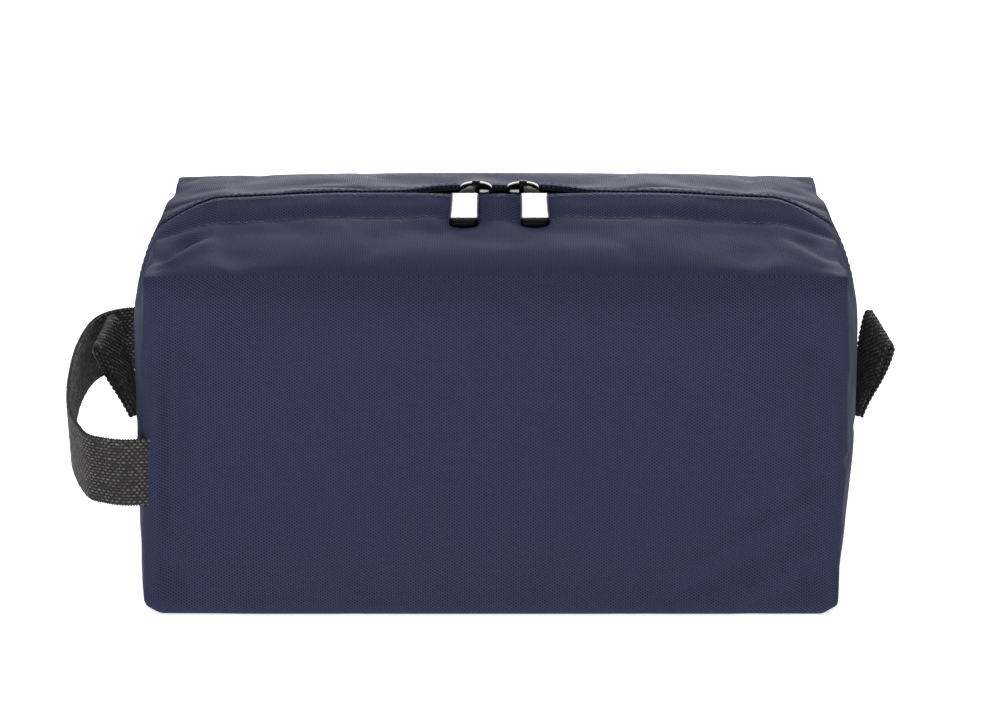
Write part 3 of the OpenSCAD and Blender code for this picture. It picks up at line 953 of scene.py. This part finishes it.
WEB_DARK = linear(0.10, 0.098, 0.105)
# colour of the painted highlight on the webbing's floats
WEB_HIGHLIGHT = linear(0.46, 0.43, 0.42)
FABRIC_DARK = linear(0.01, 0.025, 0.09)
FABRIC_LIGHT = linear(0.30, 0.31, 0.43)
FABRIC_WORN = linear(0.20, 0.21, 0.315)
LOOKS = {
    "outer_fabric": outer_fabric(),
    "lining": lining_cloth(),
    "binding": ribbed_tape("binding", linear(0.09, 0.09, 0.10), linear(0.17, 0.17, 0.18), 0.6 * MM),
    "zip_tape": ribbed_tape("zip_tape", linear(0.055, 0.055, 0.06), linear(0.12, 0.12, 0.13), 0.5 * MM),
    "zip_coil": coil_plastic(),
    "slider_enamel": gloss_enamel(),
    "pull_core": gloss_enamel("pull_core", 0.035, 0.34),
    "pull_sleeve": satin_metal(),
    "webbing": webbing_yarn(),
    "thread": thread_look(),
}


def finished(obj, look, nodes=(), body=None, slot=None):
    """Gives a piece its finish, hides the CAD nodes that it stands for and hangs it on the body that it rides
    on.
    """
    obj.data.materials.clear()
    obj.data.materials.append(LOOKS[look])
    slot = slot or (look if look in SLOTS else None)
    if nodes:
        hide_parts(*nodes)
    if body:
        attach(obj, body)
    return obj


SLOTS = {"outer_fabric", "lining", "binding", "zip_tape", "zip_coil", "slider_enamel", "pull_core",
         "pull_sleeve", "webbing"}


def bend_with_flap(obj):
    """Bakes the piece's placement into its mesh; nothing binds it to the shell or the flap."""
    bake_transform(obj)


ENDS = ((-1, "left"), (1, "right"))
SIDES = ((-1, "front"), (1, "back"))
OUTER_T = 1.2 * MM
LINING_IN = 1.7 * MM
LINING_OUT = 2.1 * MM


def cloth_pieces(skin):
    layers = ((0, OUTER_T, "outer_fabric", ""), (LINING_IN, LINING_OUT, "lining", "_lining"))
    for depth0, depth1, look, word in layers:
        panel = "_panel" if not word else word
        for _, side in SIDES:
            name = side + panel
            chosen = skin.part([side + "_wall"])
            finished(skin.panel(name + "_cloth", chosen, depth0, depth1), look, [name], "shell")
            for half, half_name in ENDS:
                name = side + "_top" + panel
                chosen = skin.part([side + "_top"], lambda m: m[:, 0] * half > 0)
                piece = skin.panel(f"{name}_{half_name}_half", chosen, depth0, depth1)
                finished(piece, look, [name])
                bend_with_flap(piece)
                name = f"{half_name}_{side}_corner{word}"
                chosen = skin.part([f"{half_name}_{side}_corner"])
                finished(skin.panel(name + "_cloth", chosen, depth0, depth1), look, [name], "shell")
        name = "base" + panel
        finished(skin.panel(name + "_cloth", skin.part(["base"]), depth0, depth1), look, [name], "shell")
        for _, end_name in ENDS:
            name = end_name + "_end" + panel
            chosen = skin.part([end_name + "_lower_end"])
            finished(skin.panel(name + "_cloth", chosen, depth0, depth1), look, [name], "shell")


# ---- zip ----

def zip_path(end):
    """Middle line of the zip, from the middle of the bag over the end and down the end wall.

    It lies deeper where the lips close over it."""
    line = [(end * x, 0, CREASE_Z + rise(0, x)) for x in ramp(0, MOUTH, 50)]
    line += [(end * p[0], 0, p[2]) for p in (roll_point(s, 0) for s in ROLL[1:])]
    line += [(end * p[0], 0, p[2]) for p in (end_point(0, z) for z in UPPER_ZS[1:])]
    frames = zip_frames(np.array(line), end)
    deeper = [1.7 * MM * float(smoothstep((abs(p[0] - SHIFT) - 20 * MM) / (25 * MM))) for p in line]
    return np.array([p - out * d for (p, _, out), d in zip(frames, deeper)])


def zip_frames(line, end):
    """(point, across, outward) along a line in the X-Z plane; across is always +Y."""
    tangents = np.gradient(line, axis=0)
    frames = []
    for p, t in zip(line, tangents):
        t = unit(t)
        out = unit(np.array((-t[2], 0, t[0])) * end)
        frames.append((p, np.array((0.0, 1.0, 0.0)), out))
    return frames


def along(line, places):
    """Points at the given distances along a line."""
    line = np.array(line)
    reach = np.concatenate([[0], np.cumsum(np.linalg.norm(np.diff(line, axis=0), axis=1))])
    return np.array([[np.interp(s, reach, line[:, k]) for k in range(3)] for s in places]), reach[-1]


COIL_R = 0.85 * MM
COIL_REACH = 1.55 * MM
COIL_PITCH = 1.35 * MM
COIL_WIRE = 0.36 * MM


def coil(name, line, end, sides, phase):
    """Nylon coil: a flattened spiral of plastic wire, one for each side given."""
    points = []
    faces = []
    per_turn = 10
    ring = 5
    _, length = along(line, [0])
    for side in sides:
        turns = int(length / COIL_PITCH) - 1
        count = turns * per_turn
        places = [COIL_PITCH * (0.6 + phase * (side > 0) + i / per_turn) for i in range(count)]
        centres, _ = along(line, places)
        frames = zip_frames(centres, end)
        wire = []
        for i, (p, across, out) in enumerate(frames):
            angle = 2 * math.pi * i / per_turn
            # the outer part of each turn is on the tape, the inner part meets the other coil
            y = side * (1.35 * MM - COIL_REACH * math.cos(angle) * 0.98)
            wire.append(p + across * y + out * (COIL_R * math.sin(angle) - COIL_DEPTH))
        wire = np.array(wire)
        tangents = np.gradient(wire, axis=0)
        base = len(points)
        for p, t in zip(wire, tangents):
            t = unit(t)
            a = unit(np.cross(t, (0.37, 0.21, 0.9)))
            b = np.cross(t, a)
            for k in range(ring):
                angle = 2 * math.pi * k / ring
                points.append(p + COIL_WIRE * (math.cos(angle) * a + math.sin(angle) * b))
        for i in range(len(wire) - 1):
            for k in range(ring):
                faces.append((base + i * ring + k, base + i * ring + (k + 1) % ring,
                              base + (i + 1) * ring + (k + 1) % ring, base + (i + 1) * ring + k))
        faces.append(tuple(base + k for k in reversed(range(ring))))
        faces.append(tuple(base + (len(wire) - 1) * ring + k for k in range(ring)))
    obj = mesh_object(name, points, faces)
    obj.data.shade_smooth()
    return obj


def tape_section(side):
    """Half of the zip tape across: flat beside the coil, thicker at its woven edge, lower under the lip."""
    low = -COIL_DEPTH - 0.55 * MM
    top = [(2.2, 0.05), (2.6, 0.3), (4.4, 0.2), (6, -0.6), (9, -2.6), (12.5, -4.8)]
    bottom = [(12.5, -5.3), (9, -3.1), (6, -1.1), (2.2, -0.25)]
    return [(side * y * MM, low + z * MM) for y, z in top + bottom]


def zip_pieces():
    for end, end_name in ENDS:
        line = zip_path(end)
        mouth = line[:51]
        run = line[51:-1]
        for side, side_name in SIDES:
            tape = sweep(f"{side_name}_zip_tape_{end_name}_half", zip_frames(mouth, end), tape_section(side))
            finished(tape, "zip_tape", [side_name + "_zip_tape"])
            bend_with_flap(tape)
            teeth = coil(f"{side_name}_zip_coil_{end_name}_half", mouth, end, (side,), 0.5)
            finished(teeth, "zip_coil", [side_name + "_zip_coil"])
            bend_with_flap(teeth)
        halves = [sweep("tape", zip_frames(run, end), tape_section(side)) for side in (-1, 1)]
        tape = joined(end_name + "_end_zip_tape_cloth", halves)
        finished(tape, "zip_tape", [end_name + "_end_zip_tape"], "shell")
        teeth = coil(end_name + "_end_zip_coil_teeth", run, end, (-1, 1), 0.5)
        finished(teeth, "zip_coil", [end_name + "_end_zip_coil"], "shell")


# ---- sliders and pulls ----

PULL_TILT = math.radians(26)
SLEEVE_W = 10.2 * MM
SLEEVE_T = 2.8 * MM
NECK_END = np.array((3.9, -8.3, -1.2)) * MM


def ring_mesh(name, rings, close_ends=True, loop=False):
    """Skins a list of rings of equal length."""
    n = len(rings[0])
    points = [p for r in rings for p in r]
    faces = []
    count = len(rings)
    for i in range(count if loop else count - 1):
        for k in range(n):
            a = i * n
            b = ((i + 1) % count) * n
            faces.append((a + k, a + (k + 1) % n, b + (k + 1) % n, b + k))
    if close_ends and not loop:
        faces.append(tuple(reversed(range(n))))
        faces.append(tuple((count - 1) * n + k for k in range(n)))
    obj = mesh_object(name, points, faces)
    outward(obj)
    obj.data.shade_smooth()
    return obj


def outward(obj):
    mesh = bmesh.new()
    mesh.from_mesh(obj.data)
    bmesh.ops.recalc_face_normals(mesh, faces=mesh.faces[:])
    mesh.to_mesh(obj.data)
    mesh.free()


def smooth_by_angle(obj, degrees=38):
    obj.data.shade_smooth()
    obj.data.set_sharp_from_angle(angle=math.radians(degrees))


def slider_plate(name, x, z, up):
    """One cast plate of a slider: pinched in the middle, domed over, with a soft edge."""
    rings = []
    dome = ((0, 0.5), (0.15, 0.12), (0.45, 0), (0.8, 0.12), (1.1, 0.55), (1.32, 1.5), (1.42, 2.8))
    for rise_here, inset in dome:
        ring = []
        for k in range(48):
            angle = 2 * math.pi * k / 48
            c = math.copysign(abs(math.cos(angle)) ** 0.62, math.cos(angle))
            s = math.copysign(abs(math.sin(angle)) ** 0.62, math.sin(angle))
            waist = 1 - 0.10 * math.cos(math.pi * c)
            ring.append((x + (6.0 - inset) * MM * c, (4.3 - inset) * MM * s * (1.1 - 0.1 * waist),
                         z + up * rise_here * MM))
        rings.append(ring)
    return ring_mesh(name, rings)


def slider(end, end_name):
    x = end * SLIDER_X + SHIFT
    upper = slider_plate("plate", x, COIL_Z + 1.15 * MM, 1)
    lower = slider_plate("plate", x, COIL_Z - 1.15 * MM, -1)
    flanges = []
    section = rounded(0.8 * MM, 1.1 * MM, 0.3 * MM)
    for side in (-1, 1):
        line = [(x + t * MM, side * 3.95 * MM, COIL_Z + 0.75 * MM) for t in ramp(-4.4, 4.4, 12)]
        frames = [(p, (0, 1, 0), (0, 0, 1)) for p in line]
        flanges.append(sweep("flange", frames, section))
    body = joined(end_name + "_slider_casting", [upper, lower] + flanges)
    smooth_by_angle(body)
    finished(body, "slider_enamel", [end_name + "_slider_body"], end_name + "_slider")
    rings = []
    for k in range(33):
        angle = math.pi * k / 32
        c = math.copysign(abs(math.cos(angle)) ** 0.8, math.cos(angle))
        middle = np.array((x - 5.6 * MM * c, 0, COIL_Z + 2.1 * MM + 3.0 * MM * math.sin(angle) ** 0.75))
        out = unit((-c, 0, 1.1 * math.sin(angle) + 0.05))
        wide = (1.5 + 0.5 * (1 - math.sin(angle))) * MM
        rings.append([tuple(middle + out * h + np.array((0, a, 0)))
                      for a, h in rounded(2 * wide, 1.15 * MM, 0.5 * MM)])
    bridge = ring_mesh(end_name + "_slider_arch", rings)
    smooth_by_angle(bridge, 60)
    finished(bridge, "slider_enamel", [end_name + "_slider_bridge"], end_name + "_slider")


def sleeve_place(end, across, down, lift):
    """A place in the pull's grip: across it, down it from its top, and above its middle."""
    origin = np.array((end * SLIDER_X + SHIFT, 0, BAR_Z)) + NECK_END * (end, 1, 1)
    toward = np.array((0, -math.cos(PULL_TILT), -math.sin(PULL_TILT)))
    up = np.array((0, -math.sin(PULL_TILT), math.cos(PULL_TILT)))
    return origin + np.array((end * across, 0, 0)) + toward * down + up * lift


def pull(end, end_name):
    def ring(down, w, t, r, lean=0.0):
        return [tuple(sleeve_place(end, a + lean, down, h)) for a, h in rounded(w, t, r, 6)]
    outer = []
    for down, grow in ((0.0, -0.35), (0.12, -0.12), (0.4, 0), (4, 0.0), (9, 0.18), (12.2, 0.5), (12.9, 0.6),
                       (13.15, 0.45), (13.2, 0.2)):
        w = SLEEVE_W + grow * MM
        outer.append(ring(down * MM, w, SLEEVE_T + 0.4 * grow * MM, 1.0 * MM + 0.1 * grow * MM,
                          down / 13.2 * 0.35 * MM))
    inner = [ring(down * MM, SLEEVE_W - 1.1 * MM, SLEEVE_T - 1.1 * MM, 0.5 * MM, down / 13.2 * 0.35 * MM)
             for down in (13.0, 7, 0.2)]
    sleeve = ring_mesh(end_name + "_pull_grip", outer + inner, loop=True)
    smooth_by_angle(sleeve, 50)
    finished(sleeve, "pull_sleeve", [end_name + "_pull_sleeve"], end_name + "_pull")
    core = []
    grip_rings = ((-0.6, 5.2, 1.5, 0.6), (0, 8.2, 1.7, 0.7), (0.6, 8.9, 1.6, 0.5), (13.0, 8.9, 1.6, 0.5),
                  (13.25, 9.9, 2.7, 1.2), (13.9, 10.5, 3.1, 1.45), (15.1, 10.2, 3.0, 1.45),
                  (16.0, 9.2, 2.4, 1.15), (16.5, 7.2, 1.2, 0.55))
    for down, w, t, r in grip_rings:
        core.append(ring(down * MM, w * MM, t * MM, r * MM, max(0, down) / 13.2 * 0.35 * MM))
    grip = ring_mesh("core", core)
    neck = []
    start = np.array((end * SLIDER_X + SHIFT, 0, BAR_Z))
    finish = sleeve_place(end, 0, 0.4 * MM, 0)
    neck_rings = ((0.12, 2.9, 1.3), (0.3, 3.2, 1.5), (0.6, 4.6, 1.5), (0.85, 6.4, 1.5), (1.0, 7.2, 1.4))
    for t, w, thick in neck_rings:
        middle = start + (finish - start) * t + np.array((0, 0, 0.7 * MM * math.sin(math.pi * t)))
        outline = rounded(w * MM, thick * MM, 0.6 * MM, 6)
        neck.append([tuple(middle + np.array((a, 0, h))) for a, h in outline])
    arm = ring_mesh("arm", neck)
    eye = []
    for k in range(28):
        angle = 2 * math.pi * k / 28
        out = np.array((0, math.cos(angle), math.sin(angle)))
        eye.append([tuple(start + out * (1.75 * MM + h) + np.array((a, 0, 0)))
                    for a, h in rounded(2.9 * MM, 0.9 * MM, 0.4 * MM, 4)])
    eye = ring_mesh("eye", eye, loop=True)
    whole = joined(end_name + "_pull_black_core", [grip, arm, eye])
    smooth_by_angle(whole, 50)
    finished(whole, "pull_core", [end_name + "_pull_core"], end_name + "_pull")


# ---- webbing ----

WEB_W = 25 * MM
WEB_T = 1.25 * MM
WEB_PITCH = 1.14 * MM                               # across the webbing, from one rib to the next
WEB_RELIEF = 0.55 * MM                              # how far the floats stand out
WEB_FLOAT = 2.0 * MM                                # along it, the length of one thread's float


def curve_through(points, step):
    """A smooth line through the points, as even steps."""
    p = np.array(points, float)
    p = np.concatenate([[2 * p[0] - p[1]], p, [2 * p[-1] - p[-2]]])
    fine = []
    for i in range(1, len(p) - 2):
        for k in range(24):
            t = k / 24
            fine.append(0.5 * (2 * p[i] + (p[i + 1] - p[i - 1]) * t
                               + (2 * p[i - 1] - 5 * p[i] + 4 * p[i + 1] - p[i + 2]) * t * t
                               + (3 * p[i] - 3 * p[i + 1] + p[i + 2] - p[i - 1]) * t ** 3))
    fine.append(p[-2])
    fine = np.array(fine)
    _, length = along(fine, [0])
    even, _ = along(fine, ramp(0, length, max(2, round(length / step))))
    return even, length


def webbing(name, line, across_at):
    """Woven strap along a line; across_at gives the unit vector across it at a part 0 to 1 of its length."""
    step = WEB_FLOAT / 6
    line, length = curve_through(line, step)
    tangents = np.gradient(line, axis=0)
    ribs = round(WEB_W / WEB_PITCH)
    per_rib = 5
    n = ribs * per_rib
    rng = np.random.default_rng(7)
    uneven = rng.normal(0, 0.11, (int(length / WEB_FLOAT * 2) + 4, ribs + 1))
    outer = []
    inner = []
    crowns = []
    for i, (p, t) in enumerate(zip(line, tangents)):
        across = unit(across_at(i / (len(line) - 1)))
        t = unit(t)
        out = unit(np.cross(t, across))
        s = length * i / (len(line) - 1)
        front = []
        back = []
        front_crown = []
        back_crown = []
        for j in range(n + 1):
            rib = min(ribs - 1, j // per_rib)
            w = (j / per_rib - rib) * 2 - 1
            place = s / WEB_FLOAT + 0.5 * (rib % 2)
            l = (place % 1) * 2 - 1
            body = math.sqrt(max(0.0, 1 - w * w)) ** 0.9
            top = body * (1 - abs(l) ** 3)
            under = body * (1 - abs(1 - abs(l)) ** 3)
            extra = uneven[int(place), rib]
            edge = abs(j / n - 0.5) * 2
            thin = (1 - 0.72 * smoothstep((edge - 0.955) / 0.045))
            ripple = math.sin(2 * math.pi * s / (WEB_FLOAT / 2))
            wave = 0.3 * MM * ripple * (edge > 0.97) * np.sign(j / n - 0.5)
            q = p + across * ((j / n - 0.5) * WEB_W + wave)
            front.append(q + out * (WEB_T / 2 * thin + WEB_RELIEF * (top * (1 + extra) - 0.55)))
            back.append(q - out * (WEB_T / 2 * thin + WEB_RELIEF * (under * (1 + extra) - 0.55)))
            front_crown.append(top * (1 + 2 * extra))
            back_crown.append(under * (1 + 2 * extra))
        outer.append(front)
        inner.append(back)
        crowns += front_crown + back_crown[::-1]
    rings = [f + b[::-1] for f, b in zip(outer, inner)]
    obj = ring_mesh(name, rings)
    # the crown attribute masks the painted highlight on the tops of the floats
    crown = obj.data.attributes.new("crown", "FLOAT", "POINT")
    crown.data.foreach_set("value", np.clip(crowns, 0, 1))
    return obj


def handle():
    x0 = -(HALF_W + 0.6 * MM)
    y = HALF_D - 0.35 * MM
    places = [(x0, -y, 1.0), (-131, -y - 0.9 * MM, 1.0), (-138.5, -y + 1.6 * MM, 1.0),
              (-144.5, -61 * MM, 1.0), (-150.6, -44 * MM, 1.3), (-154.0, -27 * MM, 2.0),
              (-156.2, -2 * MM, 3.6), (-156.6, 24 * MM, 5.2), (-154.4, 46 * MM, 6.0),
              (-150, 58 * MM, 6.2), (-142, 65 * MM, 6.0), (-132, y - 0.2 * MM, 5.4), (x0, y, 5.0)]
    middle = (TAIL_LOW + TAIL_HIGH) / 2
    line = [((x if abs(x) < 1 else x * MM), yy, middle + up * MM) for x, yy, up in places]

    def across_at(part):
        lean = 0.10 * math.sin(math.pi * part) - 0.05 * part
        return (-lean * math.cos(math.pi * part), -lean * 0.6, 1)
    strap = webbing("handle_webbing", line, across_at)
    finished(strap, "webbing", ["handle_strap", "handle_front_tail", "handle_back_tail"])
    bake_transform(strap)


TAIL_LOW, TAIL_HIGH = (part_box("handle_front_tail")[k][2] for k in (0, 1))


def tab(end, end_name, lean, length, twist):
    """Folded tab. lean is in degrees, length in mm; twist turns its far edge in and up at the fold."""
    hinge = np.array(JOINTS[end_name + "_tab_swing"]["pos_m"])
    lean = math.radians(lean)
    up = np.array((end * math.sin(lean), 0, math.cos(lean)))
    out = np.array((end * math.cos(lean), 0, -math.sin(lean)))
    shape = [(-3, 0.75), (0, 0.8), (0.27, 1.0), (0.55, 1.2), (0.78, 1.25), (0.9, 1.25), (0.975, 0.95), (1, 0),
             (0.975, -0.95), (0.9, -1.2), (0.78, -1.1), (0.55, -0.95), (0.27, -0.85), (0, -0.8), (-3, -0.75)]
    line = [hinge + up * ((a if a < 0 else a * length) * MM) + out * (b * MM) for a, b in shape]

    def across_at(part):
        turn = twist * float(smoothstep(1.15 * (1 - abs(2 * part - 1))))
        return (-end * turn * 0.95, 1, turn)
    piece = webbing(end_name + "_tab_webbing", line, across_at)
    finished(piece, "webbing", [end_name + "_tab"], end_name + "_tab")


# ---- rows of stitching ----

def row_places(end, y):
    """The outer skin's unrelaxed line beside the zip, from the middle over the end and down the end wall."""
    top = [(end * x, y, CREASE_Z + rise(y, x)) for x in ramp(0, MOUTH, 60)]
    roll = [(end * p[0], p[1], p[2]) for p in (roll_point(s, y) for s in ramp(0, 1, 24)[1:])]
    wall = [(end * p[0], p[1], p[2]) for p in (end_point(y, z) for z in ramp(CREASE_Z, SEAM_Z, 30)[1:])]
    return top, roll + wall


def lip_place(p, y):
    """Moves a place with the lip, which leans over the zip away from the sliders."""
    share = min(1.0, max(0.0, (ROW_Y - abs(y)) / (ROW_Y - LIP_Y)))
    lean = float(lip_shift(np.array([p[0]]))[0]) * share
    return (p[0], p[1] - math.copysign(lean, y), p[2])


def stitching(skin):
    for end, end_name in ENDS:
        for side, side_name in SIDES:
            for y, word in ((ROW_Y, "topstitch"), (LIP_Y + 1.9 * MM, "lip_stitch")):
                top, rest = row_places(end, side * y)
                top = [lip_place(p, y * side) for p in top]
                rest = [lip_place(p, y * side) for p in rest]
                row = stitches(f"{side_name}_{word}_{end_name}_half", *skin_line(skin, top))
                finished(row, "thread", slot=None)
                bend_with_flap(row)
                row = stitches(f"{end_name}_{side_name}_{word}_end", *skin_line(skin, [top[-1]] + rest[:-1]))
                finished(row, "thread", body="shell")
        across = ramp(-HALF_D + 4 * MM, HALF_D - 4 * MM, 50)
        seam = [(end * end_x(y, SEAM_Z), y, SEAM_Z + 2.2 * MM) for y in across]
        row = stitches(f"{end_name}_end_seam_stitch", *skin_line(skin, seam))
        finished(row, "thread", body="shell")


# ---- bindings inside the seams ----

def bindings():
    inset = 4.8 * MM
    section = rounded(6.4 * MM, 1.5 * MM, 0.7 * MM, 3)
    for end, end_name in ENDS:
        for side, side_name in SIDES:
            corner = np.array((end * (HALF_W - inset), side * (HALF_D - inset), 0))
            inward = unit((-end, -side, 0))
            beside = unit((end, -side, 0))
            middle = corner + inward * 3.2 * MM
            frames = [(middle + np.array((0.5 * MM * math.sin(z * 180), 0, z)), inward, beside)
                      for z in ramp(4 * MM, 116 * MM, 40)]
            strip = sweep(f"{end_name}_{side_name}_seam_binding", frames, section)
            outward(strip)
            finished(strip, "binding", [f"{end_name}_{side_name}_binding"], "shell")
        line = [np.array((end * (end_x(y, SEAM_Z) - 6.6 * MM), y, SEAM_Z))
                for y in ramp(-54 * MM, 54 * MM, 50)]
        frames = [(p, np.array((end, 0, 0)), np.array((0, 0, 1))) for p in line]
        strip = sweep(f"{end_name}_end_seam_binding", frames, section)
        outward(strip)
        finished(strip, "binding", [end_name + "_end_binding"], "shell")


# ---- light, floor and camera ----

def stage():
    bpy.ops.mesh.primitive_plane_add(size=12, location=(0, 0, -0.0002))
    floor = bpy.context.object
    floor.name = "floor"
    look = Look("floor")
    look.base(linear(0.97, 0.97, 0.97))
    look.set(Roughness=0.9, Emission_Strength=0.78)
    look.shader.inputs["Emission Color"].default_value = (1, 1, 1, 1)
    look.shader.inputs["Specular IOR Level"].default_value = 0.0
    floor.data.materials.append(look.material)
    world = bpy.data.worlds.new("studio")
    world.use_nodes = True
    world.node_tree.nodes["Background"].inputs["Color"].default_value = (1, 1, 1, 1)
    world.node_tree.nodes["Background"].inputs["Strength"].default_value = 0.1
    bpy.context.scene.world = world
    for name, place, target, size, energy in (
            ("key", (-0.25, -1.4, 1.3), (0, 0, 0.06), 1.0, 15),
            ("overhead", (0.05, 0.5, 1.35), (0, 0, 0.1), 0.9, 8),
            ("rim", (0.1, 1.7, 0.45), (0, 0, 0.1), 1.2, 36)):
        light = bpy.data.lights.new(name, "AREA")
        light.size = size
        light.energy = energy
        lamp = bpy.data.objects.new(name, light)
        lamp.location = place
        lamp.rotation_euler = (Vector(target) - Vector(place)).to_track_quat("-Z", "Y").to_euler()
        bpy.context.scene.collection.objects.link(lamp)
    bpy.context.scene.view_settings.view_transform = "Standard"


def camera():
    data = bpy.data.cameras.new("camera")
    data.sensor_width = 36
    data.lens = 134.2
    cam = bpy.data.objects.new("camera", data)
    target = Vector((1.5 * MM, 0, 71.4 * MM))
    elevation = math.radians(18.9)
    cam.location = target + 1.371 * Vector((0, -math.cos(elevation), math.sin(elevation)))
    cam.rotation_euler = (target - cam.location).to_track_quat("-Z", "Y").to_euler()
    bpy.context.scene.collection.objects.link(cam)
    bpy.context.scene.camera = cam


NET = build_net()
SKIN = Skin(NET)
cloth_pieces(SKIN)
zip_pieces()
for END, END_NAME in ENDS:
    slider(END, END_NAME)
    pull(END, END_NAME)
tab(-1, "left", 21, 27.8, 0.16)
tab(1, "right", 14.5, 28.2, 0.27)
handle()
stitching(SKIN)
bindings()
stage()
camera()
